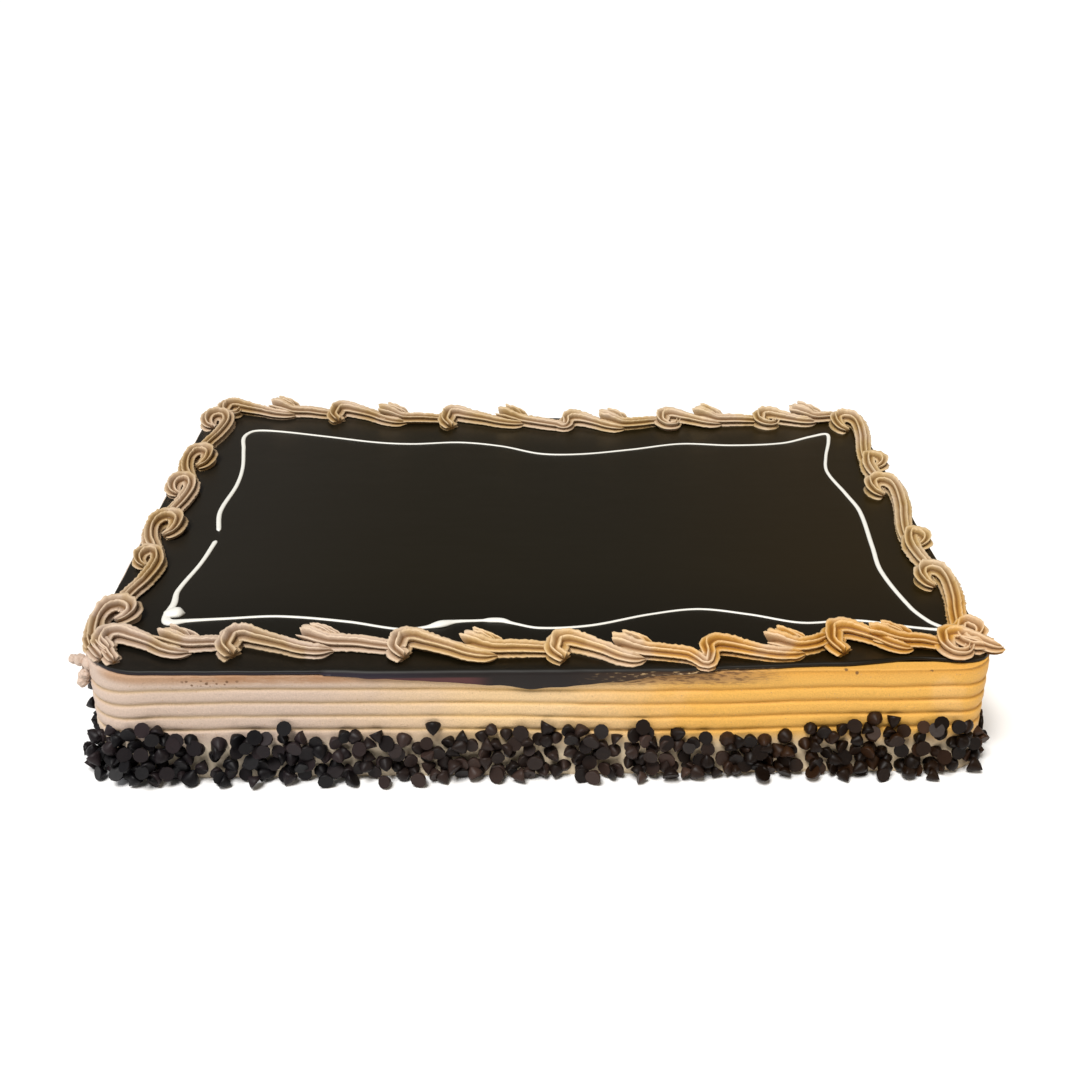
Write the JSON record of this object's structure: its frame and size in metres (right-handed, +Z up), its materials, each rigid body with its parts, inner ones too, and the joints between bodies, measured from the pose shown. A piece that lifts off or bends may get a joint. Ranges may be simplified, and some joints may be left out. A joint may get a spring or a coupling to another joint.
{
  "type": "chocolate cake",
  "caption": "Uncut rectangular layer cake: combed buttercream sides with chocolate chips at the foot, dark glaze on top, a white piped line and a piped scroll border.",
  "frame": {"origin": "centre of the cake's base, on the surface it stands on", "axes": "+X along the long side towards the right, +Y towards the back, +Z up"},
  "size_m": [0.472, 0.3556, 0.0758],
  "materials": {
    "buttercream": "soft satin whipped icing, combed and piped",
    "glaze": "poured dark chocolate, satin gloss",
    "chips": "dark chocolate with a dull sheen",
    "white_icing": "smooth white piped icing"
  },
  "bodies": {
    "root": {"frosted_cake": "buttercream", "chocolate_glaze": "glaze", "border_front": "buttercream", "border_back": "buttercream", "border_left": "buttercream", "border_right": "buttercream"}
  },
  "joints": []
}
